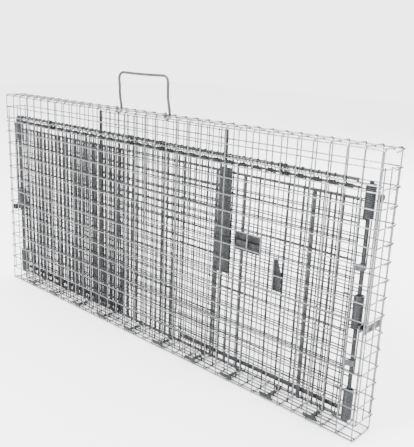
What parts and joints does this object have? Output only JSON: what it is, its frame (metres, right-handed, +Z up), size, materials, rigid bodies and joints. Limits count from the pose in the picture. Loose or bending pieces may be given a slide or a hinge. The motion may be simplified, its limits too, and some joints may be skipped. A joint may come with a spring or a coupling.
{
  "type": "live catch trap",
  "caption": "Folding wire-mesh live catch trap, folded flat, with carry handle, spread-out cover, hinged roof and floor, sprung end doors and treadle.",
  "frame": {"origin": "middle of the long lower edge, on the surface that the folded trap stands on", "axes": "+X along the trap, +Y from the cover to the back sheet, +Z up to the carry handle"},
  "size_m": [0.8636, 0.0508, 0.4704],
  "materials": {
    "mesh_wire": "bright galvanised",
    "rod_steel": "dull zinc plated",
    "sheet_steel": "galvanised, satin",
    "handle_wire": "bright galvanised"
  },
  "bodies": {
    "tray": {"back_sheet": "mesh_wire", "top_strip": "mesh_wire", "bottom_strip": "mesh_wire", "front_skirt": "mesh_wire", "end_strip_left": "mesh_wire", "end_strip_right": "mesh_wire", "divider_mesh": "mesh_wire", "divider_rod_left": "rod_steel", "divider_rod_right": "rod_steel", "strut_plate_left": "sheet_steel", "strut_plate_right": "sheet_steel", "tray_pin_left": "rod_steel", "tray_pin_right": "rod_steel", "roof_clip_1": "sheet_steel", "roof_clip_2": "sheet_steel", "roof_clip_3": "sheet_steel", "roof_clip_4": "sheet_steel"},
    "handle": {"carry_handle": "handle_wire"},
    "strut_inner_left": {"strut_inner_left": "sheet_steel", "elbow_pin_left": "rod_steel"},
    "strut_outer_left": {"strut_outer_left": "sheet_steel"},
    "strut_inner_right": {"strut_inner_right": "sheet_steel", "elbow_pin_right": "rod_steel"},
    "strut_outer_right": {"strut_outer_right": "sheet_steel"},
    "cover": {"cover_sheet": "mesh_wire", "cover_ear_left": "sheet_steel", "cover_ear_right": "sheet_steel", "cover_pin_left": "rod_steel", "cover_pin_right": "rod_steel", "floor_clip_01": "sheet_steel", "floor_clip_02": "sheet_steel", "floor_clip_03": "sheet_steel", "floor_clip_04": "sheet_steel", "floor_clip_05": "sheet_steel", "floor_clip_06": "sheet_steel", "floor_clip_07": "sheet_steel", "floor_clip_08": "sheet_steel", "floor_clip_09": "sheet_steel", "floor_clip_10": "sheet_steel"},
    "roof": {"roof_panel": "mesh_wire", "rod_bracket_left_top": "sheet_steel", "rod_bracket_left_bottom": "sheet_steel", "rod_bracket_right_top": "sheet_steel", "rod_bracket_right_bottom": "sheet_steel", "trigger_guide": "sheet_steel", "trigger_channel": "sheet_steel", "door_left_spring_1": "rod_steel", "door_left_spring_2": "rod_steel", "door_left_spring_3": "rod_steel", "door_right_spring_1": "rod_steel", "door_right_spring_2": "rod_steel", "door_right_spring_3": "rod_steel"},
    "floor": {"floor_panel": "mesh_wire"},
    "treadle": {"treadle_plate": "sheet_steel"},
    "door_left": {"door_left_mesh": "mesh_wire", "door_left_rod": "rod_steel"},
    "door_right": {"door_right_mesh": "mesh_wire", "door_right_rod": "rod_steel"},
    "trigger_rod": {"trigger_rod": "rod_steel"},
    "trigger_lever": {"trigger_lever": "sheet_steel"}
  },
  "joints": [
    {"name": "handle_swing", "type": "hinge", "parent": "tray", "child": "handle", "pos_m": [-0.033, 0, 0.4044], "axis": [1, 0, 0], "range_deg": [-60, 75]},
    {"name": "fold_out", "type": "hinge", "parent": "tray", "child": "strut_inner_left", "pos_m": [-0.4227, -0.008, 0.165], "axis": [1, 0, 0], "range_deg": [0, 90]},
    {"name": "elbow_left", "type": "hinge", "parent": "strut_inner_left", "child": "strut_outer_left", "pos_m": [-0.4199, -0.008, 0.3428], "axis": [-1, 0, 0], "range_deg": [0, 180]},
    {"name": "cover_out", "type": "hinge", "parent": "strut_outer_left", "child": "cover", "pos_m": [-0.4199, -0.008, 0.165], "axis": [1, 0, 0], "range_deg": [0, 90]},
    {"name": "strut_right", "type": "hinge", "parent": "tray", "child": "strut_inner_right", "pos_m": [0.4227, -0.008, 0.165], "axis": [1, 0, 0], "range_deg": [0, 90]},
    {"name": "elbow_right", "type": "hinge", "parent": "strut_inner_right", "child": "strut_outer_right", "pos_m": [0.4199, -0.008, 0.3428], "axis": [-1, 0, 0], "range_deg": [0, 180]},
    {"name": "roof_lift", "type": "hinge", "parent": "tray", "child": "roof", "pos_m": [0, -0.0145, 0.352], "axis": [-1, 0, 0], "range_deg": [0, 90]},
    {"name": "floor_drop", "type": "hinge", "parent": "cover", "child": "floor", "pos_m": [0, 0.0095, 0.009], "axis": [-1, 0, 0], "range_deg": [0, 90]},
    {"name": "treadle_tilt", "type": "hinge", "parent": "floor", "child": "treadle", "pos_m": [0, -0.0002, 0.07], "axis": [-1, 0, 0], "range_deg": [0, 2]},
    {"name": "door_left_swing", "type": "hinge", "parent": "roof", "child": "door_left", "pos_m": [-0.408, -0.0085, 0.016], "axis": [0, 0, 1], "range_deg": [0, 2]},
    {"name": "door_right_swing", "type": "hinge", "parent": "roof", "child": "door_right", "pos_m": [0.408, -0.0085, 0.016], "axis": [0, 0, -1], "range_deg": [0, 2]},
    {"name": "trigger_slide", "type": "slide", "parent": "roof", "child": "trigger_rod", "axis": [1, 0, 0], "range_m": [0, 0.006]},
    {"name": "lever_turn", "type": "hinge", "parent": "roof", "child": "trigger_lever", "pos_m": [0.281, -0.0192, 0.198], "axis": [0, 1, 0], "range_deg": [0, 12]}
  ],
  "couplings": [
    {"joint": "elbow_left", "follows": "fold_out", "ratio": 2},
    {"joint": "cover_out", "follows": "fold_out", "ratio": 1},
    {"joint": "strut_right", "follows": "fold_out", "ratio": 1},
    {"joint": "elbow_right", "follows": "fold_out", "ratio": 2},
    {"joint": "roof_lift", "follows": "fold_out", "ratio": 1},
    {"joint": "floor_drop", "follows": "fold_out", "ratio": 1},
    {"joint": "lever_turn", "follows": "trigger_slide", "rad_per_m": 33.3}
  ]
}
